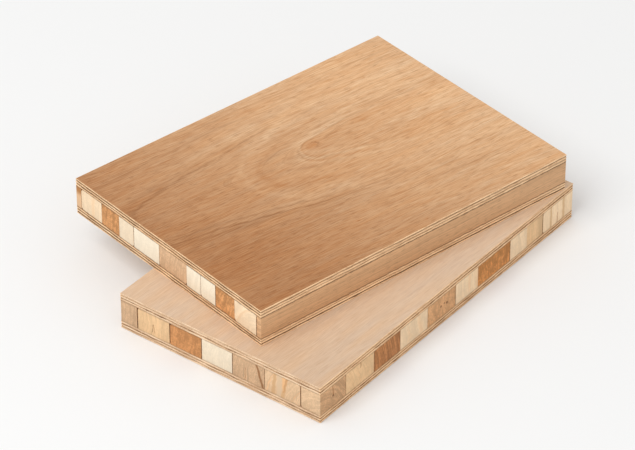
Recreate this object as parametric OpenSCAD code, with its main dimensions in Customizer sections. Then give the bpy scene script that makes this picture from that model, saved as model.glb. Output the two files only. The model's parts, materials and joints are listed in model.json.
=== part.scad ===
// Stack of two cut blockboard panels, the upper one lying flat and a little turned on the lower one.
// Each panel has a core of solid wood between two skins of five plies. The lower panel's core is rows
// of short blocks, the upper panel's is long strips.
// Lengths are in millimetres and +Z is up. The origin is on the ground, under the centre of the
// stack's outline, with +X along the lower panel.

/* [Lower board] */
// Length of the lower board, along the grain of its faces
lower_length = 300; // [220:1:600]
// Width of the lower board
lower_width = 175; // [140:1:300]

/* [Upper board] */
// Length of the upper board, along the grain of its faces
upper_length = 285; // [220:1:600]
// Width of the upper board
upper_width = 205; // [140:1:260]
// Turn of the upper board on the lower one, in degrees
upper_turn = 12; // [0:1:25]
// Distance of the upper board's front left corner from the lower board's left end
upper_from_left = 12; // [0:1:60]
// Distance of the same corner from the lower board's front edge
upper_from_front = 60; // [0:1:90]

/* [Layers] */
// Thickness of the solid wood core of both boards
core_t = 18; // [10:0.5:30]
// Thickness of the face veneers
face_veneer_t = 1; // [0.5:0.1:2]
// Thickness of the two darker crossbands in each skin
crossband_t = 1.1; // [0.6:0.1:2.5]
// Thickness of the ply between the crossbands
centre_ply_t = 1.2; // [0.6:0.1:2.5]
// Thickness of the ply that is glued to the core
inner_ply_t = 1.6; // [0.6:0.1:2.5]

/* [Core] */
// Gap between neighbouring strips or blocks of a core
core_gap = 0.3; // [0.1:0.1:1]

/* [Hidden] */
// Relative widths of the lower core's rows, from the front edge
row_shares = [17, 31, 28, 27, 28, 29, 15];
// Relative lengths of the blocks in a row, from the left end; each row starts the list further on
block_shares = [29, 32, 30, 32, 33, 27, 39, 21, 20, 37];
// How many entries further on in block_shares the next row starts
block_shift = 3;
// Relative widths of the upper core's strips, from the front edge
strip_shares = [5, 23.5, 20.5, 16, 15.5, 30.5, 28.5, 16.5, 20, 23.5, 5.5];

skin_t = face_veneer_t + 2 * crossband_t + centre_ply_t + inner_ply_t;
board_t = core_t + 2 * skin_t;

// Depth of each ply's outer face below the skin's own face
outer_crossband_depth = face_veneer_t;
centre_ply_depth = outer_crossband_depth + crossband_t;
inner_crossband_depth = centre_ply_depth + centre_ply_t;
inner_ply_depth = inner_crossband_depth + crossband_t;

// Outline of the whole stack, measured from the lower board's front left corner
turned_length_x = upper_length * cos(upper_turn);
turned_length_y = upper_length * sin(upper_turn);
turned_width_x = upper_width * sin(upper_turn);
turned_width_y = upper_width * cos(upper_turn);
stack_left = min(0, upper_from_left);
stack_right = max(lower_length, upper_from_left + turned_length_x + turned_width_x);
stack_front = min(0, upper_from_front - turned_length_y);
stack_back = max(lower_width, upper_from_front + turned_width_y);
centre_x = (stack_left + stack_right) / 2;
centre_y = (stack_front + stack_back) / 2;

// Where piece i starts when a length is shared out in the ratio of a list, and how long it is
function sum_of(shares, n, shift = 0) =
    n <= 0 ? 0 : sum_of(shares, n - 1, shift) + shares[(n - 1 + shift) % len(shares)];
function start(shares, i, total, shift = 0) =
    total * sum_of(shares, i, shift) / sum_of(shares, len(shares));
function extent(shares, i, total, shift = 0) =
    start(shares, i + 1, total, shift) - start(shares, i, total, shift)
    - (i < len(shares) - 1 ? core_gap : 0);

row_count = len(row_shares);
block_count = len(block_shares);
strip_count = len(strip_shares);

BOARDS = ["lower", "upper"];
SKINS = ["bottom", "top"];
PLIES = ["face_veneer", "outer_crossband", "centre_ply", "inner_crossband", "inner_ply"];

// Colours of the plies and of the woods in the cores
veneer_tone = "#cf9f74";
crossband_tone = "#b08a62";
ply_tone = "#e2bf94";
cream = "#f0dcba";
straw = "#e6c795";
sand = "#d8b48c";
tan_wood = "#c99f76";
orange_wood = "#c48a55";
brown_wood = "#a8734a";
strip_tones = [
    sand, cream, orange_wood, cream, cream, tan_wood, cream, cream, orange_wood, cream, tan_wood
];
row_end_tones = [tan_wood, sand, tan_wood, cream, orange_wood, straw, sand];
front_row_tones = [
    tan_wood, straw, brown_wood, straw, tan_wood, cream, orange_wood, straw, sand, straw
];

// Puts a board's own corner, length and width in place on the stack
module in_place(board) {
    if (board == "lower") translate([-centre_x, -centre_y, 0]) children();
    if (board == "upper")
        translate([upper_from_left - centre_x, upper_from_front - centre_y, board_t])
            rotate([0, 0, -upper_turn])
                children();
}

// One ply of a board, its outer face at the given depth below the face of the skin
module sheet(board, skin, depth, thickness) {
    length = board == "lower" ? lower_length : upper_length;
    width = board == "lower" ? lower_width : upper_width;
    bottom = skin == "bottom" ? depth : board_t - depth - thickness;
    in_place(board) translate([0, 0, bottom]) cube([length, width, thickness]);
}

module face_veneer(board, skin) {
    color(veneer_tone) sheet(board, skin, 0, face_veneer_t);
}

module outer_crossband(board, skin) {
    color(crossband_tone) sheet(board, skin, outer_crossband_depth, crossband_t);
}

module centre_ply(board, skin) {
    color(ply_tone) sheet(board, skin, centre_ply_depth, centre_ply_t);
}

module inner_crossband(board, skin) {
    color(crossband_tone) sheet(board, skin, inner_crossband_depth, crossband_t);
}

module inner_ply(board, skin) {
    color(ply_tone) sheet(board, skin, inner_ply_depth, inner_ply_t);
}

// Tone of block k in row i; the blocks inside the board repeat the tones of the front row
function block_tone(i, k) =
    k == 0 ? row_end_tones[i] : front_row_tones[(k + i * block_shift) % block_count];

// One row of short blocks along the lower board, with a saw gap between them
module block_row(i) {
    front = start(row_shares, i, lower_width);
    width = extent(row_shares, i, lower_width);
    shift = i * block_shift;
    in_place("lower")
        for (k = [0:block_count - 1])
            color(block_tone(i, k))
                translate([start(block_shares, k, lower_length, shift), front, skin_t])
                    cube([extent(block_shares, k, lower_length, shift), width, core_t]);
}

// One strip along the whole upper board
module core_strip(i) {
    in_place("upper")
        color(strip_tones[i])
            translate([0, start(strip_shares, i, upper_width), skin_t])
                cube([upper_length, extent(strip_shares, i, upper_width), core_t]);
}

for (board = BOARDS, skin = SKINS) {
    skin_name = str(board, "_", skin);
    face_veneer(board, skin);
    outer_crossband(board, skin);
    centre_ply(board, skin);
    inner_crossband(board, skin);
    inner_ply(board, skin);
}

for (i = [1:row_count])
    block_row(i - 1);

for (i = [1:strip_count])
    core_strip(i - 1);
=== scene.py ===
"""Two stacked blockboard panels: the finish of every ply, strip and block, and their stage."""

import json
import math
import random

import bmesh
import bpy
from bpy.props import FloatProperty, FloatVectorProperty, PointerProperty
from mathutils import Matrix, Vector

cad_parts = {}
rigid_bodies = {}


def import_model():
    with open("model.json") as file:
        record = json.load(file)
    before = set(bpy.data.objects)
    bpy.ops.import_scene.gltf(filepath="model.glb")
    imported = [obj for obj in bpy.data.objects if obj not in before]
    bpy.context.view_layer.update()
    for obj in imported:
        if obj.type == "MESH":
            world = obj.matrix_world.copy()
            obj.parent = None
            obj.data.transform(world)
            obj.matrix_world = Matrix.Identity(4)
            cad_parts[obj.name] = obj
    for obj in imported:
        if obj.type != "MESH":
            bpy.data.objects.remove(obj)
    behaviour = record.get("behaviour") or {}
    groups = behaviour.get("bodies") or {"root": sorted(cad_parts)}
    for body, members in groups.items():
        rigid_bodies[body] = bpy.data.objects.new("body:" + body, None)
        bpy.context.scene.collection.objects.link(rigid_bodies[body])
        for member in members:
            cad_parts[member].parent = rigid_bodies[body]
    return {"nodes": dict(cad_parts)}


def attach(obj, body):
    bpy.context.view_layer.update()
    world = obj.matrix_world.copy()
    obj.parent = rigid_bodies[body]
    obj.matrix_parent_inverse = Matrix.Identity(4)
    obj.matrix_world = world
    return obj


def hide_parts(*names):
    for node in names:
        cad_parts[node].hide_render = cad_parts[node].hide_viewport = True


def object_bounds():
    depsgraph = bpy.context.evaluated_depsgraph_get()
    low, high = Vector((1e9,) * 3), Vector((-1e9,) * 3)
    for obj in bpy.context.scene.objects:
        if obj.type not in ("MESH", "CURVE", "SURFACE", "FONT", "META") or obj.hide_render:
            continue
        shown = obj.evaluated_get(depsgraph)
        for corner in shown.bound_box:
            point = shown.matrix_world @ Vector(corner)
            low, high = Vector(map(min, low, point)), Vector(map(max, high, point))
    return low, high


bl_info = {
    "name": "Blockboard Stack",
    "version": (1, 0, 0),
    "blender": (4, 5, 0),
    "location": "3D View > Sidebar > Blockboard",
    "description": "Finishes the plies, strips and blocks of two stacked blockboard panels",
    "category": "Add Mesh",
}

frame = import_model()
CAD_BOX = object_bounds()

MM = 0.001
UPPER_TURN = math.radians(-12)
SKINS = ("bottom", "top")
ROWS = 7
STRIPS = 11

# A face looks along an axis when that part of its normal is over this.
FACING = 0.8
# A veneer's face is level when its normal points up or down by more than this.
LEVEL = 0.95
# A face this near to a board's edge belongs to its sawn edge.
EDGE_REACH = 1.5 * MM
# A slanting face larger than this is a broken corner, which takes the dark glue colour as painted
# shade of its hollow.
CHIP_AREA = 0.4 * MM * MM
# Faces that meet at less than this are shaded as one curve.
SMOOTH_ANGLE = math.radians(40)


# ---- boards


def box_round(corners):
    """The lowest and highest corner of the box round some corners."""
    low = Vector([min(corner[axis] for corner in corners) for axis in range(3)])
    high = Vector([max(corner[axis] for corner in corners) for axis in range(3)])
    return low, high


class Board:
    """One board: its own corner, how it is turned, and its size along, across and up."""

    def __init__(self, name, turn):
        self.name = name
        self.turn = turn
        low, high = box_round([
            Matrix.Rotation(-turn, 4, "Z") @ vertex.co
            for node, piece in frame["nodes"].items()
            if node.startswith(name)
            for vertex in piece.data.vertices
        ])
        self.size = high - low
        self.matrix = Matrix.Rotation(turn, 4, "Z") @ Matrix.Translation(low)
        self.middle_mm = self.size.z / MM / 2
        self.skin_mm = self.box(f"{name}_bottom_inner_ply")[1].z / MM

    def corners(self, node):
        """A CAD node's corners in the board's own directions."""
        back = self.matrix.inverted()
        return [back @ vertex.co for vertex in frame["nodes"][node].data.vertices]

    def box(self, node):
        """A CAD node's lowest and highest corner in the board's own directions."""
        return box_round(self.corners(node))

    def lengths(self, node):
        """Where each solid of a row starts and ends along the board."""
        stops = sorted({round(corner.x, 5) for corner in self.corners(node)})
        return list(zip(stops[::2], stops[1::2]))


LOWER = Board("lower", 0)
UPPER = Board("upper", UPPER_TURN)
BOARDS = (LOWER, UPPER)

# The even width of every joint between the core's solids.
CAD_JOINT = LOWER.box("lower_block_row_2")[0].y - LOWER.box("lower_block_row_1")[1].y


# ---- shader maths


class Value:
    """A shader socket that takes part in plain arithmetic."""

    def __init__(self, wiring, socket):
        self.wiring = wiring
        self.socket = socket

    def __add__(self, other):
        return self.wiring.maths("ADD", self, other)

    __radd__ = __add__

    def __sub__(self, other):
        return self.wiring.maths("SUBTRACT", self, other)

    def __rsub__(self, other):
        return self.wiring.maths("SUBTRACT", other, self)

    def __mul__(self, other):
        return self.wiring.maths("MULTIPLY", self, other)

    __rmul__ = __mul__

    def __truediv__(self, other):
        return self.wiring.maths("DIVIDE", self, other)

    def __rtruediv__(self, other):
        return self.wiring.maths("DIVIDE", other, self)

    def __pow__(self, other):
        return self.wiring.maths("POWER", self, other)

    def __rpow__(self, other):
        return self.wiring.maths("POWER", other, self)

    def __neg__(self):
        return self.wiring.maths("MULTIPLY", self, -1)

    def __abs__(self):
        return self.wiring.maths("ABSOLUTE", self)


class Wiring:
    """The nodes of one material or world, made from Python expressions."""

    def __init__(self, name, kept_in=bpy.data.materials):
        self.owner = kept_in.new(name)
        self.owner.use_nodes = True
        self.tree = self.owner.node_tree
        self.tree.nodes.clear()

    def node(self, kind, settings=None, inputs=None, output=0):
        """Adds a node, sets it up, feeds its sockets and returns one of its outputs."""
        made = self.tree.nodes.new(kind)
        for key, setting in (settings or {}).items():
            setattr(made, key, setting)
        for key, value in (inputs or {}).items():
            if isinstance(value, Value):
                self.tree.links.new(value.socket, made.inputs[key])
            else:
                made.inputs[key].default_value = value
        return Value(self, made.outputs[output]) if made.outputs else None

    def maths(self, operation, *values):
        """One Math node on values, links or numbers."""
        return self.node("ShaderNodeMath", {"operation": operation}, dict(enumerate(values)))

    def root(self, value):
        """The square root."""
        return self.maths("SQRT", value)

    def bell(self, value):
        """1 where value is 0, falling to 0 on both sides."""
        return self.maths("EXPONENT", -(value * value))

    def smooth(self, value, start, end, low=0.0, high=1.0):
        """Goes softly from low to high while value goes from start to end."""
        settings = {"interpolation_type": "SMOOTHSTEP"}
        inputs = {
            "Value": value,
            "From Min": start,
            "From Max": end,
            "To Min": low,
            "To Max": high,
        }
        return self.node("ShaderNodeMapRange", settings, inputs)

    def vector(self, x, y, z=0.0):
        """A vector of three numbers."""
        return self.node("ShaderNodeCombineXYZ", inputs={"X": x, "Y": y, "Z": z})

    def parts(self, vector):
        """The three numbers of a vector."""
        split = self.node("ShaderNodeSeparateXYZ", inputs={"Vector": vector}).socket.node
        return [Value(self, output) for output in split.outputs]

    def noise(self, x, y, z=0.0, detail=2.0, roughness=0.5):
        """Cloudy noise from 0 to 1 at a point, mostly near 0.5."""
        inputs = {
            "Vector": self.vector(x, y, z),
            "Scale": 1.0,
            "Detail": detail,
            "Roughness": roughness,
        }
        return self.node("ShaderNodeTexNoise", inputs=inputs)

    def mix(self, factor, first, second):
        """The first colour where factor is 0 and the second where it is 1."""
        settings = {"data_type": "RGBA"}
        return self.node("ShaderNodeMix", settings, {0: factor, 6: first, 7: second}, output=2)

    def ramp(self, value, start, end):
        """Goes evenly from 0 to 1 while value goes from start to end."""
        inputs = {"Value": value, "From Min": start, "From Max": end}
        return self.node("ShaderNodeMapRange", inputs=inputs)

    def product(self, first, second):
        """Two colours multiplied."""
        settings = {"operation": "MULTIPLY"}
        return self.node("ShaderNodeVectorMath", settings, {0: first, 1: second})

    def place(self, board):
        """Distances along, across and up a board from its own corner, in millimetres."""
        inputs = {
            "Vector": self.node("ShaderNodeTexCoord", output="Object"),
            "Location": board.matrix.to_translation(),
            "Rotation": (0, 0, board.turn),
            "Scale": (MM, MM, MM),
        }
        return self.parts(self.node("ShaderNodeMapping", {"vector_type": "TEXTURE"}, inputs))

    def seen(self):
        """1 for rays from the camera, off gloss and through glass, 0 for the light on things."""
        path = self.node("ShaderNodeLightPath").socket.node
        kinds = ("Is Camera Ray", "Is Glossy Ray", "Is Transmission Ray")
        direct, mirrored, through = [Value(self, path.outputs[kind]) for kind in kinds]
        return self.maths("MAXIMUM", self.maths("MAXIMUM", direct, mirrored), through)

    def finish(self, colour, roughness, height, depth, gloss=0.15):
        """Ends the material in a wood surface, with height as its relief of that depth."""
        relief = {"Height": height, "Strength": 1.0, "Distance": depth}
        inputs = {
            "Base Color": colour,
            "Roughness": roughness,
            "Specular IOR Level": gloss,
            "Normal": self.node("ShaderNodeBump", inputs=relief),
        }
        surface = self.node("ShaderNodeBsdfPrincipled", inputs=inputs)
        self.node("ShaderNodeOutputMaterial", inputs={"Surface": surface})
        return self.owner


def tinted(colour, red, green, blue):
    """A colour with its red, green and blue made stronger or weaker, and its alpha."""
    return (colour[0] * red, colour[1] * green, colour[2] * blue, 1.0)


def shade(colour, amount):
    """A colour made lighter or darker."""
    return tinted(colour, amount, amount, amount)


def between(first, second, part):
    """A colour that lies part of the way from the first to the second."""
    return shade([one + (other - one) * part for one, other in zip(first, second)], 1)


# ---- woods


def veneer_face(
    name, board, light, dark, line, drift, knots=(), lines=(), glows=(), arcs=(), axis=0.657,
    contrast=1.0,
):
    """The peeled face of a skin: arched grain lines round its knots, fine fibres and pores.

    axis is the heart's place across the board, and drift how much paler its right end is, partly
    its own tone and partly painted light.
    """
    w = Wiring(name)
    along, across, _ = w.place(board)
    length, width = board.size.x / MM, board.size.y / MM

    # Growth rings: long arches round the heart that bulge at each knot.
    sway = (w.noise(along / 120, across / 50, 7.3) - 0.5) * 20
    offset = across + sway - axis * width + 0.09 * along
    depth = (1.06 * length - along) * 0.15
    ring = w.root(offset * offset + depth * depth)
    eye = 0.0
    rim = 0.0
    halo = 0.0
    for knot_along, knot_across, long_mm, wide_mm, lift, strength in knots:
        reach = w.root(
            ((along - knot_along * length) / long_mm) ** 2
            + ((across - knot_across * width) / wide_mm) ** 2
        )
        ring = ring - lift * w.bell(reach)
        eye = eye + w.bell(reach * 1.7) * strength
        beside = w.smooth(along - knot_along * length, -0.3 * long_mm, 0.3 * long_mm)
        rim = rim + w.bell((reach - 0.5) / 0.14) * beside * strength
        halo = halo + w.bell(reach * 0.75) * strength

    # The parts of the figure.
    level = across + 0.5 * sway + 0.05 * along
    waver = w.noise(along / 9, across / 3, 1.7) - 0.5
    calm = w.smooth(ring, 5, 26)
    heart = w.bell(offset / 40) * calm * w.smooth(along / length, 0.2, 0.42, 0.35, contrast)
    band = w.noise(ring / 13, along / 300, across / 200)
    streak = w.noise(ring / 1.9, along / 110, across / 90, detail=3, roughness=0.6)
    cloud = w.noise(along / 90, across / 18, 3.1)
    fibre = w.noise(level / 0.85, along / 34, 5.7, detail=3, roughness=0.65)
    hair = w.noise(level / 0.42, along / 14, 8.2, detail=1)
    pore = w.noise(level / 0.6, along / 9, 11.9, detail=1)
    vein = w.noise(ring / 1.1 + waver * 0.8, along / 50, across / 60 + 9)

    # How pale each place is.
    tone = (
        0.5
        + contrast * (0.3 * (band - 0.5) + 0.23 * (cloud - 0.5))
        + (0.14 * contrast * (0.4 + 0.6 * calm) + 0.29 * heart) * (streak - 0.5)
        + (0.5 + 0.22 * contrast) * (fibre - 0.5)
        + 1.3 * (hair - 0.5)
    )
    for value, wide_mm, amount in glows:
        tone = tone + w.bell((ring - value) / wide_mm) * (amount * (0.4 + 1.2 * cloud))
    wobble = w.noise(along / 24, across / 12, 21.7) - 0.5
    for arc_along, arc_across, long_mm, wide_mm, thick_mm, amount in arcs:
        beside = along - arc_along * length
        after = w.maths("MAXIMUM", beside, 0)
        before = w.maths("MINIMUM", beside, 0) / long_mm
        apart = (across - arc_across * width + 0.12 * after) / (wide_mm * (1 + after / 55))
        reach = w.root(before * before + apart * apart) + 0.3 * wobble
        path = w.bell((reach - 1) * (wide_mm / thick_mm) + 1.2 * waver)
        tone = tone + path * w.smooth(beside, 75, 0) * (amount * (0.2 + 1.6 * cloud))
    colour = w.mix(w.ramp(tone, 0.0, 1.0), shade(dark, 1), shade(light, 1))

    # Pores, veins and the dark lines that follow single rings.
    pores = w.smooth(pore, 0.56, 0.7) * (0.4 * contrast * contrast)
    veins = w.smooth(vein, 0.6, 0.74) * (0.18 * contrast * calm + 0.24 * heart)
    strand = w.smooth(fibre, 0.6, 0.42, 0.55, 1.0)
    marks = w.maths("MAXIMUM", pores, veins)
    for value, side, wide_mm, strength, lean in lines:
        fade = w.smooth(offset * side, -6, 8) if side else 1.0
        broken = w.noise(along / 34, across / 14, value, detail=3)
        broken = broken + lean * (0.5 - along / length)
        path = w.bell((ring - value + 3.0 * waver) / wide_mm)
        shown = w.smooth(broken, 0.3, 0.62) * strand * strength
        marks = w.maths("MAXIMUM", marks, path * fade * shown)
    colour = w.mix(marks, colour, shade(line, 1))
    if knots:
        blotch = w.smooth(w.noise(along / 2.2, across / 1.4, 4.4, detail=3), 0.4, 0.62)
        colour = w.mix(halo * 0.2, colour, shade(line, 2.0))
        colour = w.mix(eye * (0.3 + 0.3 * blotch), colour, shade(line, 1.8))
        colour = w.mix(rim * (0.2 + 0.35 * blotch), colour, shade(line, 0.9))

    # Slow change of shade over the whole face, paler to the right, partly the wood's own tone and
    # partly painted light and shade, and of warmth from streak to streak.
    lift = 0.5 + drift * (along / length - 0.5 + 0.3 * (across / width - 0.5))
    tint = w.mix(w.ramp(lift, 0.0, 1.0), (0.70, 0.59, 0.50, 1), (1.30, 1.41, 1.50, 1))
    colour = w.product(colour, tint)
    warm = w.noise(along / 70, across / 9, 15.3)
    hue = w.mix(w.ramp(warm, 0.3, 0.7), (1.02, 0.985, 0.94, 1), (0.98, 1.01, 1.06, 1))
    colour = w.product(colour, hue)
    height = fibre * 0.6 - w.smooth(pore, 0.58, 0.72)
    return w.finish(colour, w.smooth(fibre, 0.3, 0.7, 0.66, 0.54), height, 0.00006)


def skin_edge(
    name, board, ply_light, ply_dark, cross_light, cross_dark, glue, glued, outer, under,
    beside, end_tint,
):
    """A skin's sawn edge: pale plies, crossbands of uneven width, and glue next to the core.

    glued and outer are how much the glue and the outer crossband show, under is how much
    darker the bottom skin is, beside is what the crossbands gain on the long sides, and
    end_tint colours the short ends.
    """
    w = Wiring(name)
    along, across, up = w.place(board)
    middle = board.middle_mm
    half = board.size.y / MM / 2
    long_side = w.smooth(abs(across - half), half - 1.5, half - 0.5)
    below = w.smooth(up, middle + 1, middle - 1)
    level = middle - abs(up - middle)
    wave = (w.noise(along / 15, across / 15, up / 9, detail=3) - 0.5) * 1.5
    depth = level + wave * w.smooth(level, 0.2, 1.3)
    drift = w.noise(along / 22, across / 22, up / 1.2, detail=3)
    fleck = w.noise(along / 4, across / 1.3, up / 0.5, detail=3, roughness=0.7)
    length = w.noise(along / 9, across / 9, up / 1.5, detail=3)
    tone = 0.5 + 2.3 * (drift - 0.5) + 2.0 * (fleck - 0.5) - under * below + 0.12 * long_side
    colour = w.mix(w.smooth(tone, 0.1, 0.9), shade(ply_dark, 0.95), ply_light)
    tone = 0.5 + 3.0 * (length - 0.5) + 1.8 * (fleck - 0.5) - 0.12 * long_side
    dark = w.mix(w.smooth(tone, 0.15, 0.85), cross_dark, cross_light)
    bands = (
        ("outer_crossband", outer + 0.35 * below + beside * long_side),
        ("inner_crossband", 0.95 + (beside - 0.2) * long_side),
    )
    for ply, cover in bands:
        low, high = board.box(f"{board.name}_bottom_{ply}")
        reach = abs(depth - (low.z + high.z) / 2 / MM) / ((high.z - low.z) / 2 / MM)
        colour = w.mix(w.smooth(reach, 1.25, 0.7) * cover, colour, dark)
    colour = w.product(colour, w.mix(long_side, end_tint, (1.07, 0.98, 0.86, 1)))
    run = w.noise(along / 5, across / 5, up / 3, detail=3)
    near = board.skin_mm - level + 1.6 * (run - 0.5)
    colour = w.mix(w.smooth(near, 0.7, 0.2) * glued, colour, shade(glue, 1.2))
    return w.finish(colour, 0.76, fleck, 0.0001, gloss=0.1)


def line_mark(w, side, up, foot, head, foot_width, head_width, low, high):
    """A slanted line on the core's edge, from foot at height low to head at height high."""
    slope = (head - foot) / (high - low)
    waver = (w.noise(up / 3, side / 40, 2.2, detail=1) - 0.5) * 1.6
    offset = abs(side - foot - (up - low) * slope + waver)
    width = foot_width + (up - low) * ((head_width - foot_width) / (high - low))
    ends = w.smooth(up, low - 0.6, low + 0.6) * w.smooth(up, high + 0.6, high - 0.6)
    return w.smooth(offset / width, 0.6, 0.2) * ends


def dot_mark(w, side, up, centre, height, radius):
    """A round spot on the core's edge."""
    reach = w.root((side - centre) ** 2 + (up - height) ** 2)
    return w.smooth(reach, radius, radius * 0.3)


def glue_line(name, board, glue):
    """Dark dried glue on the sides of the core's joints."""
    w = Wiring(name)
    along, across, up = w.place(board)
    run = w.noise(along / 6, across / 6, up / 1.5, detail=3)
    colour = w.mix(w.smooth(run, 0.3, 0.7), shade(glue, 0.8), shade(glue, 2.0))
    return w.finish(colour, 0.6, run, 0.0001)


def glue_at_skins(w, board, along, across, up, spread_mm):
    """1 where the core meets the skins and 0 in its middle, with a ragged edge."""
    stain = w.noise(along / spread_mm, across / spread_mm, 2.0)
    core = board.middle_mm - board.skin_mm
    return w.smooth(abs(up - board.middle_mm) + 1.6 * stain, core - 0.1, core + 0.7)


def core_wood(
    name, board, light, dark, ring_mm, rings=1.0, lines=1.0, mottle=0.5, pores=0.0,
    stripes=0.0, stripe=None, stripe_mm=1.5, marks=(), sway=5.0, sink=0.0,
):
    """Sawn core wood: rings and fine lines round the board's front left corner, clouds, grit.

    A mark is the direction it is placed along, its function, that function's numbers in
    millimetres, and its colour.
    """
    w = Wiring(name)
    along, across, up = w.place(board)
    if board is UPPER:
        side = across
        run = along / 60
        slices = (across, up, along / 12)
    else:
        side = along + across
        run = up / 40
        slices = (along, across, up / 2)
    wander = (w.noise(side / 12, up / 12, run) - 0.5) * sway
    radius = w.root(side ** 2 + up ** 2) + wander
    ring = w.noise(radius / ring_mm, run, roughness=0.6)
    line = w.noise(radius / 1.3, side / 30 + run, up / 30, roughness=0.6)
    cloud = w.noise(side / 5, up / 5, run, detail=3, roughness=0.7)
    grit = w.noise(*slices, detail=3, roughness=0.75)
    tone = (
        0.375
        + 1.3 * rings * (ring - 0.5)
        + 1.5 * lines * (line - 0.5)
        + 1.4 * mottle * (cloud - 0.5)
        + 1.3 * (grit - 0.5)
    )
    if sink:
        tone = tone - sink * (up - board.middle_mm) / 9
    colour = w.mix(w.smooth(tone, 0.0, 1.0), dark, light)
    if stripes:
        bands = w.noise(radius / stripe_mm + 31, run, detail=1)
        colour = w.mix(w.smooth(bands, 0.55, 0.7) * stripes, colour, stripe)
    if pores:
        speck = w.noise(along / 0.7, across / 0.7, up / 0.9, detail=0)
        colour = w.mix(w.smooth(speck, 0.6, 0.78) * pores, colour, shade(dark, 0.55))
    for axis, kind, numbers, mark_colour in marks:
        edge = along if axis == "along" else across
        colour = w.mix(kind(w, edge, up, *numbers), colour, mark_colour)
    glue = glue_at_skins(w, board, along, across, up, 3)
    colour = w.mix(glue * (0.8 if board is UPPER else 0.4), colour, shade(dark, 0.38))
    return w.finish(colour, 0.74, grit + 0.5 * line, 0.00012, gloss=0.1)


def side_grain(name, board, light, dark):
    """The long side of an outer core strip: straight fibres, short pores, glue at the skins."""
    w = Wiring(name)
    along, across, up = w.place(board)
    sway = (w.noise(along / 110, up / 25, across / 50) - 0.5) * 6
    level = up + sway
    fibre = w.noise(level / 0.8, along / 40, across / 50 + 2, detail=3, roughness=0.65)
    streak = w.noise(level / 2.4, along / 190, across / 50 + 6)
    pore = w.noise(level / 0.55, along / 7, across / 50 + 9, detail=1)
    growth = w.noise(level / 1.7 + 17, along / 260, across / 50, detail=1)
    tone = 0.5 + 1.7 * (fibre - 0.5) + 1.0 * (streak - 0.5)
    colour = w.mix(w.ramp(tone, 0.0, 1.0), dark, light)
    colour = w.mix(w.smooth(growth, 0.58, 0.72) * 0.4, colour, shade(dark, 0.75))
    pores = w.smooth(pore, 0.57, 0.72)
    colour = w.mix(pores * 0.45, colour, shade(dark, 0.55))
    glue = glue_at_skins(w, board, along, across, up, 5)
    colour = w.mix(glue * 0.8, colour, shade(dark, 0.4))
    return w.finish(colour, 0.72, fibre - 0.6 * pores, 0.0001, gloss=0.1)


# ---- modelling


def deselect():
    """Leaves edit mode and selects nothing."""
    if bpy.context.object and bpy.context.object.mode != "OBJECT":
        bpy.ops.object.mode_set(mode="OBJECT")
    bpy.ops.object.select_all(action="DESELECT")


def block(low, high, eased, chips=()):
    """Adds a cuboid to the piece that is edited, or as a new one, with its edges eased.

    A chip is the corner that it breaks off, as a sign for each axis, and its size.
    """
    middle = (low + high) / 2
    bpy.ops.mesh.primitive_cube_add(size=1, location=middle, scale=high - low)
    if bpy.context.mode == "OBJECT":
        bpy.ops.object.transform_apply(location=True, rotation=True, scale=True)
        bpy.ops.object.mode_set(mode="EDIT")
        bpy.ops.mesh.select_all(action="SELECT")
    for corner, size in chips:
        mesh = bmesh.from_edit_mesh(bpy.context.edit_object.data)
        own = [vertex for vertex in mesh.verts if vertex.select]
        for vertex in own:
            away = vertex.co - middle
            vertex.select = all(away[axis] * corner[axis] > 0 for axis in range(3))
        mesh.select_flush_mode()
        bpy.ops.mesh.bevel(offset=size, offset_type="OFFSET", segments=1, affect="VERTICES")
        bpy.ops.mesh.select_linked()
    bpy.ops.mesh.bevel(offset=eased, offset_type="OFFSET", segments=2, affect="EDGES")


def put_down(board, name, node, slot):
    """Ends a piece: names it, lays it on its board and lets it stand for its CAD node."""
    bpy.ops.object.mode_set(mode="OBJECT")
    piece = bpy.context.object
    piece.name = name
    piece.data.name = name
    piece.matrix_world = board.matrix
    bpy.ops.object.transform_apply(location=True, rotation=True, scale=True)
    bpy.ops.object.shade_smooth_by_angle(angle=SMOOTH_ANGLE)
    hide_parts(node)
    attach(piece, "root")
    return piece


def sheet(board, node, name, slot, recess, eased):
    """One ply: a cuboid with eased edges, set back a little from the board's edge."""
    low, high = board.box(node)
    inward = Vector((recess, recess, 0))
    deselect()
    block(low + inward, high - inward, eased)
    return put_down(board, name, node, slot)


# ---- settings


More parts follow.
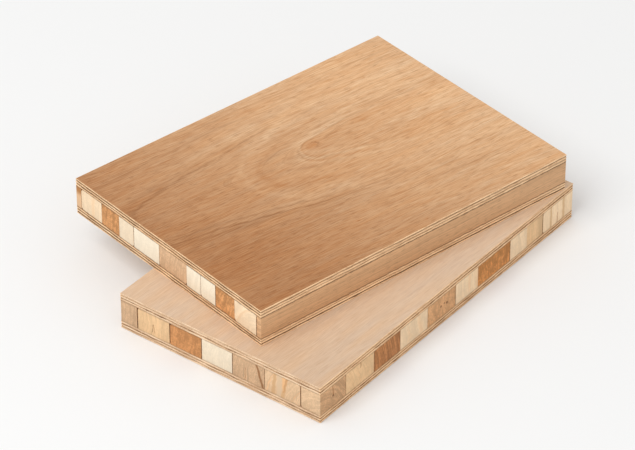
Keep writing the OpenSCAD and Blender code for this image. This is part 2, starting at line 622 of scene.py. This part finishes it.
class WoodColours(bpy.types.PropertyGroup):
    """Colours of the veneers, plies and core woods."""

    def tint(name, description, default):
        return FloatVectorProperty(
            name=name, description=description, subtype="COLOR", size=3, min=0, max=1,
            default=default,
        )

    face_light: tint("Face veneer, light", "Pale parts of the upper face", (0.756, 0.484, 0.274))
    face_dark: tint("Face veneer, dark", "Deep parts of the upper face", (0.489, 0.21, 0.0735))
    face_line: tint("Face veneer, pores", "Pores and dark lines", (0.28, 0.11, 0.033))
    plain_light: tint("Plain veneer, light", "Pale parts of other faces", (0.83, 0.625, 0.445))
    plain_dark: tint("Plain veneer, dark", "Deep parts of other faces", (0.655, 0.45, 0.295))
    ply_light: tint("Ply, light", "Pale parts of the pale plies' edges", (0.94, 0.71, 0.49))
    ply_dark: tint("Ply, dark", "Deeper parts of the pale plies' edges", (0.66, 0.43, 0.26))
    cross_light: tint("Crossband, light", "Pale parts of the crossbands", (0.52, 0.32, 0.18))
    cross_dark: tint("Crossband, dark", "Deep parts of the crossbands", (0.22, 0.11, 0.05))
    cream: tint("Cream wood", "Palest core wood", (0.94, 0.82, 0.64))
    buff: tint("Buff wood", "Pale yellow-brown core wood", (0.93, 0.69, 0.45))
    straw: tint("Straw wood", "Yellowish core wood", (0.85, 0.565, 0.315))
    sand: tint("Sand wood", "Pale tan core wood", (0.79, 0.54, 0.33))
    tan: tint("Tan wood", "Tan core wood", (0.69, 0.41, 0.22))
    grey_tan: tint("Grey-tan wood", "Dull tan core wood", (0.63, 0.41, 0.245))
    orange: tint("Orange wood", "Orange-brown core wood", (0.62, 0.292, 0.112))
    glue: tint("Glue line", "Dark glue in the joints", (0.26, 0.13, 0.06))
    brown: tint("Brown wood", "Dark brown core wood", (0.51, 0.225, 0.09))

    del tint


class SawnEdges(bpy.types.PropertyGroup):
    """Sizes of the small shapes along the boards' sawn edges."""

    arris: FloatProperty(
        name="Veneer arris", description="Width of the softened edge of the face veneers",
        default=0.0003, min=0.00005, max=0.0004, unit="LENGTH",
    )
    eased: FloatProperty(
        name="Eased edge", description="Width of the softened edge of plies and blocks",
        default=0.00015, min=0.00005, max=0.0004, unit="LENGTH",
    )
    ply_recess: FloatProperty(
        name="Ply recess", description="How far the pale plies lie behind the face veneers",
        default=0.00005, min=0, max=0.0005, unit="LENGTH",
    )
    cross_recess: FloatProperty(
        name="Crossband recess", description="How far the crossbands lie behind the faces",
        default=0.00025, min=0, max=0.0005, unit="LENGTH",
    )
    block_recess: FloatProperty(
        name="Block recess", description="Most that a block's end lies behind the board's edge",
        default=0.0003, min=0, max=0.001, unit="LENGTH",
    )


class Studio(bpy.types.PropertyGroup):
    """The camera, the lamp and the light from all round."""

    turn: FloatProperty(
        name="View round", description="Camera's turn round the stack, from the front",
        default=math.radians(-52.5), unit="ROTATION",
    )
    rise: FloatProperty(
        name="View height", description="Camera's height above the horizon",
        default=math.radians(36), unit="ROTATION",
    )
    distance: FloatProperty(
        name="View distance", description="From the camera to the middle of the stack",
        default=2.75, min=1, max=10, unit="LENGTH",
    )
    aim: FloatProperty(
        name="Aim height", description="Height above the floor that the camera looks at",
        default=0.012, unit="LENGTH",
    )
    lens: FloatProperty(
        name="Lens", description="Focal length in millimetres", default=217, min=50, max=400,
        unit="CAMERA",
    )
    key: FloatProperty(
        name="Key light", description="Power of the soft lamp on the left", default=78, min=0,
        unit="POWER",
    )
    fill: FloatProperty(
        name="Fill light", description="Strength of the light from all round", default=0.87,
        min=0, max=2,
    )


# ---- operators


def board_skin_edge(context, board):
    """The material of a board's sawn plies, made once for each board."""
    name = f"{board.name}_skin_edge"
    if name in bpy.data.materials:
        return bpy.data.materials[name]
    colours = context.scene.blockboard_woods
    if board is UPPER:
        pale, deep, end_tint = 1.06, 0.52, (1.01, 0.935, 0.83, 1)
        glued, outer, under, beside = 0.9, 0.9, -0.08, -0.3
    else:
        pale, deep, end_tint = 1.0, 1.1, (1, 1, 1, 1)
        glued, outer, under, beside = 0.5, 0.4, 0.0, 0.2
    return skin_edge(
        name, board, shade(colours.ply_light, pale), colours.ply_dark,
        shade(colours.cross_light, deep), shade(colours.cross_dark, deep), colours.glue, glued,
        outer, under, beside, end_tint,
    )


# The figure of the upper face. Places are shares of the board's length and width, sizes are in
# millimetres, and a ring is named by its distance from the heart in millimetres.
# Knots: place along and across, length, width, bulge of the rings, darkness.
KNOTS = (
    (0.545, 0.62, 8.0, 6.0, 4.0, 1.0), (0.37, 0.57, 17.0, 11.0, 0.6, 0.2),
    (0.84, 0.825, 1.6, 0.9, 0.0, 1.2), (0.417, 0.176, 1.8, 0.8, 0.0, 1.2),
    (0.55, 0.032, 1.8, 0.9, 0.0, 1.4), (0.62, 0.675, 1.4, 0.8, 0.0, 0.9),
)
# Dark lines: ring, side of the heart or 0 for both, width, strength, gain towards the left end.
LINES = (
    (58, -1, 0.8, 0.62, 0.35), (61, -1, 1.4, 0.35, 0.5), (54, -1, 0.8, 0.4, 0.7),
    (46, 1, 0.8, 0.55, 0.2), (49, 1, 1.0, 0.25, 0.6), (24.5, 0, 0.6, 0.4, 0),
    (29, 0, 1.2, 0.3, 0), (36, 0, 0.9, 0.18, 0), (68, 0, 0.8, 0.35, 0), (78, 0, 1.0, 0.35, 0),
)
# Bands of rings: ring, width, how much paler.
GLOWS = ((53.0, 3.4, 0.18), (32.5, 2.8, 0.05), (20.0, 9.0, -0.08))
# Open arcs round the knot: place along and across, length, width, thickness, how much paler.
ARCS = (
    (0.55, 0.598, 16.0, 12.5, 1.2, 0.32), (0.55, 0.602, 13.6, 10.2, 0.8, -0.12),
    (0.555, 0.59, 19.5, 15.0, 1.0, -0.1), (0.56, 0.585, 23.0, 17.5, 1.4, 0.15),
    (0.456, 0.571, 41.0, 36.0, 3.2, 0.16), (0.456, 0.566, 28.0, 23.0, 2.8, -0.17),
)


class MakeFaceVeneers(bpy.types.Operator):
    """Make the four face veneers, the upper board's top one with the figure"""

    bl_idname = "blockboard.face_veneers"
    bl_label = "Face Veneers"

    def execute(self, context):
        colours = context.scene.blockboard_woods
        edges = context.scene.blockboard_edges
        for board in BOARDS:
            edge = board_skin_edge(context, board)
            for skin in SKINS:
                node = f"{board.name}_{skin}_face_veneer"
                piece = sheet(board, node, f"{node}_sheet", "face_veneer", 0, edges.arris)
                if board is UPPER and skin == "top":
                    # Its drift of 1.1 darkens the left end and pales the right: partly its own
                    # tone, partly painted light.
                    face = veneer_face(
                        "figured_veneer", board, colours.face_light, colours.face_dark,
                        colours.face_line, 1.1, KNOTS, LINES, GLOWS, ARCS,
                    )
                else:
                    face = veneer_face(
                        f"{node}_wood", board, colours.plain_light, colours.plain_dark,
                        colours.face_line, 0.3, axis=-0.4, contrast=0.5,
                    )
                piece.data.materials.clear()
                piece.data.materials.append(face)
                piece.data.materials.append(edge)
                for polygon in piece.data.polygons:
                    polygon.material_index = 0 if abs(polygon.normal.z) > LEVEL else 1
        return {"FINISHED"}


class MakePlies(bpy.types.Operator):
    """Make the plies between the face veneers and the cores"""

    bl_idname = "blockboard.plies"
    bl_label = "Plies"

    def execute(self, context):
        edges = context.scene.blockboard_edges
        for board in BOARDS:
            edge = board_skin_edge(context, board)
            layers = (
                ("outer_crossband", "crossband", edges.cross_recess),
                ("centre_ply", "ply", edges.ply_recess),
                ("inner_crossband", "crossband", edges.cross_recess),
                ("inner_ply", "ply", edges.ply_recess),
            )
            for skin in SKINS:
                for ply, slot, recess in layers:
                    node = f"{board.name}_{skin}_{ply}"
                    piece = sheet(board, node, f"{node}_sheet", slot, recess, edges.eased)
                    piece.data.materials.clear()
                    piece.data.materials.append(edge)
        return {"FINISHED"}


def draw_past(chosen, rng):
    """Moves the random numbers on past a piece, so that the next pieces keep their shapes."""
    for wood in chosen:
        rng.random()
        rng.random()
        if wood not in ("arched", "dotted", "orange", "russet", "tan", "dull"):
            rng.randrange(2)
        rng.random()


def beyond(point, low, high):
    """How far a point lies outside a block in plan, below zero inside it."""
    return max(low.x - point.x, point.x - high.x, low.y - point.y, point.y - high.y)


def face_wood(board, centre, normal, area, wood, left_end, long_side):
    """The wood that a block's face shows, glue in a joint, or the glue's dark colour on a broken
    corner as painted shade.
    """
    inside = [min(centre[way], board.size[way] - centre[way]) > EDGE_REACH for way in range(2)]
    # A broken corner's slanting face gets the dark glue colour: painted shade standing for the
    # dark hollow of a void.
    if max(abs(part) for part in normal) < FACING and area > CHIP_AREA:
        return "glue"
    if abs(normal.y) > FACING and inside[1]:
        return "glue"
    if long_side and normal.y ** 2 > 0.6:
        return long_side
    if abs(normal.x) > FACING and inside[0]:
        return "glue"
    if left_end and normal.x < -FACING:
        return left_end
    return wood


def give_woods(piece, board, blocks, chosen, woods, left_end=None, long_side=None):
    """Gives every block of a piece its wood, and the joints their glue."""
    back = board.matrix.inverted()
    names = []
    for polygon in piece.data.polygons:
        centre = back @ polygon.center
        normal = back.to_3x3() @ polygon.normal
        index = min(range(len(blocks)), key=lambda k: beyond(centre, *blocks[k]))
        names.append(
            face_wood(board, centre, normal, polygon.area, chosen[index], left_end, long_side)
        )
    shown = sorted(set(names))
    piece.data.materials.clear()
    for name in shown:
        piece.data.materials.append(woods[name])
    for polygon, name in zip(piece.data.polygons, names):
        polygon.material_index = shown.index(name)


def step_back(gap, edges, rng):
    """How far a block's side lies inside its solid, so that its joint is gap millimetres wide.

    With no gap the side is part of the board's edge, and lies a little behind it.
    """
    if gap is None:
        return edges.block_recess * rng.random()
    return (gap * MM - CAD_JOINT) / 2


# The blocks' edges are eased by the set width times a number in this range.
EASED_RANGE = (1.0, 2.2)

# Woods of the lower core's left end from the front, and of its front edge from the left. Each
# row further back starts the second list SHIFT places later.
END_WOODS = ("sand", "streaked", "lined", "ivory", "russet", "cracked", "dull")
FRONT_WOODS = (
    "arched", "straw", "brown", "pale", "dotted", "pale", "orange", "pale", "straw", "banded",
)
SHIFT = 3
# Widths in millimetres of the joints between rows and between the blocks of a row.
ROW_GAPS = (None, 0.6, 0.3, 0.5, 0.35, 0.7, 0.8, None)
BLOCK_GAPS = (None, 0.15, 0.4, 0.2, 0.15, 0.2, 0.3, 0.25, 0.15, 0.4, None)
# Broken corners by row and block, each with its direction and its size in metres.
BLOCK_CHIPS = {
    (0, 0): [((-1, 1, -1), 0.0016)],
    (0, 9): [((-1, -1, 1), 0.0014), ((-1, -1, -1), 0.0018)],
    (0, 3): [((-1, -1, 1), 0.0013)],
    (4, 0): [((-1, 1, 1), 0.0015)],
    (1, 0): [((-1, -1, 1), 0.0014), ((-1, -1, -1), 0.0012)],
    (5, 0): [((-1, 1, 1), 0.0015), ((-1, -1, -1), 0.0014)],
}


class MakeLowerBlocks(bpy.types.Operator):
    """Make the rows of short blocks in the lower board's core"""

    bl_idname = "blockboard.lower_blocks"
    bl_label = "Lower Core Blocks"

    def execute(self, context):
        woods = lower_woods(context.scene.blockboard_woods)
        edges = context.scene.blockboard_edges
        rng = random.Random(11)
        for row in range(ROWS):
            node = f"lower_block_row_{row + 1}"
            low, high = LOWER.box(node)
            spans = LOWER.lengths(node)
            chosen = [FRONT_WOODS[(k + SHIFT * row) % len(FRONT_WOODS)] for k in range(len(spans))]
            if row:
                chosen[0] = END_WOODS[row]
            blocks = []
            deselect()
            for k, (start, end) in enumerate(spans):
                first = Vector((start, low.y, low.z))
                last = Vector((end, high.y, high.z))
                first.y += step_back(ROW_GAPS[row], edges, rng)
                last.y -= step_back(ROW_GAPS[row + 1], edges, rng)
                first.x += step_back(BLOCK_GAPS[k], edges, rng)
                last.x -= step_back(BLOCK_GAPS[k + 1], edges, rng)
                eased = edges.eased * rng.uniform(*EASED_RANGE)
                block(first, last, eased, BLOCK_CHIPS.get((row, k), ()))
                blocks.append((first, last))
            piece = put_down(LOWER, f"{node}_blocks", node, "core_wood_mixed")
            give_woods(piece, LOWER, blocks, chosen, woods, left_end=END_WOODS[row])
            draw_past(chosen, rng)
        return {"FINISHED"}


# Woods of the upper core from the front, and the record's finish of those that aren't pale.
STRIP_WOODS = (
    "tan", "pale", "orange", "cream", "cream", "dull", "cream", "ivory", "orange", "pale", "tan",
)
STRIP_SLOTS = {"orange": "core_wood_brown", "tan": "core_wood_tan", "dull": "core_wood_tan"}
# Widths of the joints in millimetres, and the broken corners by strip as above.
STRIP_GAPS = (0.3, 0.2, 0.2, 0.15, 0.3, 0.15, 0.2, 0.12, 0.2, 0.03)
STRIP_CHIPS = {
    1: [((-1, 1, -1), 0.0022), ((-1, -1, 1), 0.0016)],
    3: [((-1, 1, -1), 0.0016)],
    5: [((-1, -1, -1), 0.0018), ((-1, 1, -1), 0.0015)],
    7: [((-1, -1, -1), 0.0016)],
    8: [((-1, 1, 1), 0.0016)],
    9: [((-1, 1, 1), 0.0022), ((-1, 1, -1), 0.0017)],
}


class MakeUpperStrips(bpy.types.Operator):
    """Make the long strips in the upper board's core"""

    bl_idname = "blockboard.upper_strips"
    bl_label = "Upper Core Strips"

    def execute(self, context):
        woods = upper_woods(context.scene.blockboard_woods)
        edges = context.scene.blockboard_edges
        rng = random.Random(5)
        for strip, wood in enumerate(STRIP_WOODS):
            node = f"upper_core_strip_{strip + 1}"
            low, high = UPPER.box(node)
            low.x += step_back(None, edges, rng)
            high.x -= step_back(None, edges, rng)
            if strip > 0:
                low.y += step_back(STRIP_GAPS[strip - 1], edges, rng)
            if strip < STRIPS - 1:
                high.y -= step_back(STRIP_GAPS[strip], edges, rng)
            deselect()
            eased = edges.eased * rng.uniform(*EASED_RANGE)
            block(low, high, eased, STRIP_CHIPS.get(strip, ()))
            slot = STRIP_SLOTS.get(wood, "core_wood_pale")
            piece = put_down(UPPER, f"{node}_wood", node, slot)
            long_side = "long_side" if strip in (0, STRIPS - 1) else None
            give_woods(piece, UPPER, [(low, high)], [wood], woods, long_side=long_side)
            draw_past([wood], rng)
        return {"FINISHED"}


# The grain of the woods that both cores have.
PALE_GRAIN = {"ring_mm": 5, "lines": 0.7, "mottle": 0.9, "stripes": 0.4, "stripe_mm": 7}
IVORY_GRAIN = {"ring_mm": 4, "rings": 0.8, "lines": 0.7, "mottle": 0.9}
DULL_GRAIN = {"ring_mm": 6, "mottle": 1.0, "pores": 0.2}
ORANGE_GRAIN = {
    "ring_mm": 4, "rings": 0.9, "lines": 0.7, "mottle": 1.5, "pores": 0.4, "sink": 0.2,
}


def wood_maker(board):
    """A function that makes a core wood of a board, its pale and deep parts from one colour."""

    def wood(name, colour, light, dark, **grain):
        pale, deep = shade(colour, light), shade(colour, dark)
        return core_wood(f"{board.name}_{name}_wood", board, pale, deep, **grain)

    return wood


def marks_on(axis, kind, *rows):
    """Marks of one kind along an axis, each from its numbers and its colour."""
    return [(axis, kind, numbers, colour) for numbers, colour in rows]


def upper_woods(colours):
    """The woods of the upper core by name."""
    wood = wood_maker(UPPER)
    flush = between(colours.straw, colours.orange, 0.25)
    buff = between(colours.buff, colours.cream, 0.2)
    ivory = between(colours.cream, buff, 0.55)
    orange = between(colours.orange, colours.tan, 0.12)
    dull = shade(colours.grey_tan, 1.13)
    tan = shade(colours.tan, 1.06)
    return {
        "glue": glue_line("upper_glue", UPPER, colours.glue),
        "long_side": side_grain("upper_long_side", UPPER, shade(tan, 1.18), shade(tan, 0.75)),
        "cream": wood(
            "cream", colours.cream, 1.06, 0.93, ring_mm=4, rings=0.8, lines=0.6, mottle=0.8,
        ),
        "pale": wood("pale", buff, 1.1, 0.9, stripe=shade(flush, 1.22), **PALE_GRAIN),
        "ivory": wood("ivory", ivory, 1.02, 0.87, **IVORY_GRAIN),
        "dull": wood("dull", dull, 1.18, 0.86, **DULL_GRAIN),
        "orange": wood("orange", orange, 1.36, 0.78, **ORANGE_GRAIN),
        "tan": wood(
            "tan", tan, 1.18, 0.8, ring_mm=6, mottle=0.9, pores=0.4,
            marks=marks_on(
                "across", dot_mark,
                # The first spot, paler, is partly the wood's own tone and partly a painted
                # highlight.
                ((202.5, 11.0, 11.0), between(tan, buff, 0.25)),
                ((202.0, 23.0, 7.0), shade(colours.orange, 0.75)),
            ),
        ),
    }


def lower_woods(colours):
    """The woods of the lower core by name."""
    wood = wood_maker(LOWER)
    dark_line = shade(colours.glue, 0.9)
    warm_line = shade(colours.glue, 1.7)
    flush = between(colours.straw, colours.orange, 0.25)
    blaze = between(colours.straw, shade(colours.orange, 1.4), 0.4)
    ember = between(flush, colours.orange, 0.5)
    chalk = between(colours.sand, colours.cream, 0.15)
    ivory = between(colours.cream, colours.buff, 0.2)
    orange = tinted(colours.orange, 1, 0.925, 0.81)
    russet = tinted(colours.orange, 0.94, 0.93, 0.97)
    spotted = between(colours.tan, colours.orange, 0.35)
    return {
        "glue": glue_line("lower_glue", LOWER, colours.glue),
        "pale": wood("pale", colours.buff, 1.1, 0.9, stripe=shade(flush, 1.22), **PALE_GRAIN),
        "ivory": wood("ivory", ivory, 1.02, 0.87, **IVORY_GRAIN),
        "dull": wood("dull", colours.grey_tan, 1.18, 0.86, **DULL_GRAIN),
        "orange": wood("orange", orange, 1.36, 0.78, **ORANGE_GRAIN),
        "sand": wood("sand", colours.sand, 1.12, 0.84, ring_mm=6, mottle=0.8, pores=0.3),
        "straw": wood(
            "straw", colours.straw, 1.16, 0.93, ring_mm=6, rings=0.8, lines=0.7, mottle=0.9,
            stripes=0.12, stripe=shade(colours.orange, 1.3),
            marks=marks_on(
                "along", line_mark,
                ((45.6, 45.7, 0.9, 1.1, 19.5, 25), warm_line),
                ((261.4, 260.8, 9.0, 11.0, 5, 25), shade(colours.straw, 0.84)),
            ),
        ),
        "brown": wood(
            "brown", colours.brown, 1.36, 0.78, ring_mm=3, lines=1.5, mottle=0.6, pores=0.3,
            stripes=0.55, stripe=shade(colours.brown, 0.5), sway=1.5,
        ),
        "russet": wood(
            "russet", russet, 1.3, 0.82, ring_mm=4, rings=0.8, lines=0.7, mottle=1.2, pores=0.4,
            sink=0.15,
        ),
        "arched": wood(
            "arched", colours.tan, 1.22, 0.8, ring_mm=5, rings=1.4, mottle=0.8, pores=0.4,
            marks=marks_on(
                "along", line_mark, ((14.8, 14.0, 1.2, 0.7, 15.5, 25), shade(colours.brown, 0.9)),
            ) + marks_on("along", dot_mark, ((14.6, 15.0, 1.4), dark_line)),
        ),
        "lined": wood(
            "lined", colours.grey_tan, 1.2, 0.9, ring_mm=7, mottle=0.9, pores=0.4,
            marks=marks_on(
                "across", line_mark,
                ((48.8, 55.0, 2.6, 2.4, 5, 25), shade(colours.glue, 1.3)),
                ((62.2, 62.6, 1.8, 0.8, 5, 18), shade(colours.grey_tan, 0.82)),
                ((64.7, 64.3, 0.7, 0.5, 6, 17), warm_line),
                ((66.2, 65.6, 1.4, 1.0, 8, 19), shade(colours.grey_tan, 0.8)),
            ),
        ),
        "streaked": wood(
            "streaked", colours.sand, 1.1, 0.82, ring_mm=6, stripes=0.25,
            stripe=shade(colours.orange, 1.5),
            marks=marks_on(
                "across", line_mark,
                ((40.8, 38.6, 4.0, 2.8, 5, 25), shade(flush, 0.82)),
                ((35.8, 34.8, 5.0, 5.6, 5, 25), shade(chalk, 0.87)),
                ((32.8, 28.8, 3.8, 3.4, 5, 25), shade(flush, 0.84)),
                ((31.8, 30.7, 1.2, 4.2, 12, 25), shade(blaze, 0.97)),
                ((31.6, 28.4, 1.6, 2.2, 11, 25), shade(ember, 0.88)),
                ((23.6, 23.4, 0.8, 0.6, 6, 16), shade(colours.sand, 0.8)),
                ((20.6, 20.4, 0.7, 0.5, 9, 19), shade(colours.sand, 0.8)),
            ),
        ),
        "cracked": wood(
            "cracked", colours.straw, 1.06, 0.84, ring_mm=4, stripes=0.3,
            stripe=shade(colours.straw, 0.75),
            marks=marks_on(
                "across", line_mark,
                ((146.7, 145.6, 0.5, 0.5, 9, 16), dark_line),
                ((144.5, 145.4, 0.5, 0.5, 9, 16), warm_line),
                ((147.6, 146.9, 0.6, 0.5, 6, 10), shade(colours.straw, 0.7)),
            ),
        ),
        "dotted": wood(
            "dotted", spotted, 1.26, 0.88, ring_mm=4, mottle=1.0, pores=0.5,
            marks=marks_on(
                "along", dot_mark,
                ((138.6, 15.4, 1.3), shade(colours.brown, 0.5)),
                ((142.6, 16.2, 1.0), shade(colours.brown, 0.6)),
                ((145.6, 15.0, 1.5), shade(colours.brown, 0.4)),
            ),
        ),
        "banded": wood(
            "banded", colours.buff, 1.14, 0.96, ring_mm=5,
            marks=marks_on(
                "along", line_mark,
                ((273.0, 273.0, 2.6, 2.6, 5, 25), shade(colours.straw, 0.88)),
                ((289.0, 288.6, 3.6, 3.6, 5, 25), shade(colours.straw, 0.9)),
                ((281.0, 281.4, 0.9, 0.7, 5.5, 15), shade(colours.brown, 1)),
            ),
        ),
    }


# In metres: the lamp's place as seen from the aim point and its width, then the floor's width
# and how far it lies below the stack.
LAMP_PLACE = Vector((-0.6, 0.06, 0.8)).normalized() * 4
LAMP_SIZE = 2.5
FLOOR_SIZE = 12
FLOOR_DROP = 0.0003


class MakeStage(bpy.types.Operator):
    """Make the pale floor, the soft light and the camera"""

    bl_idname = "blockboard.stage"
    bl_label = "Stage"

    def execute(self, context):
        studio = context.scene.blockboard_studio
        low, high = CAD_BOX
        centre = (low + high) / 2
        centre.z = low.z + studio.aim
        make_floor(low.z)
        make_light("key_light", centre + LAMP_PLACE, centre, LAMP_SIZE, studio.key)
        make_world(context, studio.fill)
        make_camera(context, studio, centre)
        context.scene.view_settings.view_transform = "Standard"
        return {"FINISHED"}


def make_floor(height):
    """A wide pale floor that shows nearly white and keeps the stack's shadow."""
    deselect()
    bpy.ops.mesh.primitive_plane_add(size=FLOOR_SIZE, location=(0, 0, height - FLOOR_DROP))
    floor = bpy.context.object
    floor.name = "floor"
    bpy.ops.object.transform_apply(location=True, rotation=True, scale=True)
    w = Wiring("pale_floor")
    paint = {
        "Base Color": (0.86, 0.86, 0.855, 1),
        "Roughness": 0.9,
        "Specular IOR Level": 0,
        "Emission Color": w.mix(w.seen(), (0, 0, 0, 1), (1, 1, 1, 1)),
        "Emission Strength": 0.04,
    }
    surface = w.node("ShaderNodeBsdfPrincipled", inputs=paint)
    w.node("ShaderNodeOutputMaterial", inputs={"Surface": surface})
    floor.data.materials.append(w.owner)


def make_light(name, location, target, size, power):
    """A square soft lamp that faces a point."""
    lamp = bpy.data.lights.new(name, "AREA")
    lamp.size = size
    lamp.energy = power
    holder = bpy.data.objects.new(name, lamp)
    holder.location = location
    holder.rotation_euler = (target - location).to_track_quat("-Z", "Y").to_euler()
    bpy.context.scene.collection.objects.link(holder)


def make_world(context, strength):
    """Even light from all round, shown as white."""
    w = Wiring("studio", bpy.data.worlds)
    context.scene.world = w.owner
    grey = (0.8, 0.8, 0.8, 1)
    fill = w.node("ShaderNodeBackground", inputs={"Color": grey, "Strength": strength})
    shown = w.node("ShaderNodeBackground", inputs={"Color": grey, "Strength": 0.95})
    both = w.node("ShaderNodeMixShader", inputs={0: w.seen(), 1: fill, 2: shown})
    w.node("ShaderNodeOutputWorld", inputs={"Surface": both})


def make_camera(context, studio, centre):
    """A long lens that looks down on the stack."""
    lens = bpy.data.cameras.new("camera")
    lens.lens = studio.lens
    lens.sensor_width = 36
    lens.clip_end = 50
    camera = bpy.data.objects.new("camera", lens)
    back = Vector((
        math.sin(studio.turn) * math.cos(studio.rise),
        -math.cos(studio.turn) * math.cos(studio.rise),
        math.sin(studio.rise),
    ))
    camera.location = centre + back * studio.distance
    camera.rotation_euler = (-back).to_track_quat("-Z", "Y").to_euler()
    context.scene.collection.objects.link(camera)
    context.scene.camera = camera


class BlockboardPanel(bpy.types.Panel):
    """Lists the steps that build the stack"""

    bl_idname = "BLOCKBOARD_PT_steps"
    bl_label = "Blockboard Stack"
    bl_space_type = "VIEW_3D"
    bl_region_type = "UI"
    bl_category = "Blockboard"

    def draw(self, context):
        for step in STEPS:
            self.layout.operator(step.bl_idname)
        for settings in ("blockboard_woods", "blockboard_edges", "blockboard_studio"):
            group = getattr(context.scene, settings)
            box = self.layout.box()
            for name in group.__annotations__:
                box.prop(group, name)


GROUPS = (
    ("blockboard_woods", WoodColours),
    ("blockboard_edges", SawnEdges),
    ("blockboard_studio", Studio),
)
STEPS = (MakeStage, MakeFaceVeneers, MakePlies, MakeLowerBlocks, MakeUpperStrips)


def register():
    """Adds the settings, the steps and the panel."""
    for name, group in GROUPS:
        bpy.utils.register_class(group)
        setattr(bpy.types.Scene, name, PointerProperty(type=group))
    for step in STEPS:
        bpy.utils.register_class(step)
    bpy.utils.register_class(BlockboardPanel)


def unregister():
    """Takes them away again."""
    bpy.utils.unregister_class(BlockboardPanel)
    for step in reversed(STEPS):
        bpy.utils.unregister_class(step)
    for name, group in reversed(GROUPS):
        delattr(bpy.types.Scene, name)
        bpy.utils.unregister_class(group)


def main():
    """Builds the stack."""
    register()
    bpy.ops.blockboard.stage()
    bpy.ops.blockboard.face_veneers()
    bpy.ops.blockboard.plies()
    bpy.ops.blockboard.lower_blocks()
    bpy.ops.blockboard.upper_strips()


if __name__ == "__main__":
    main()
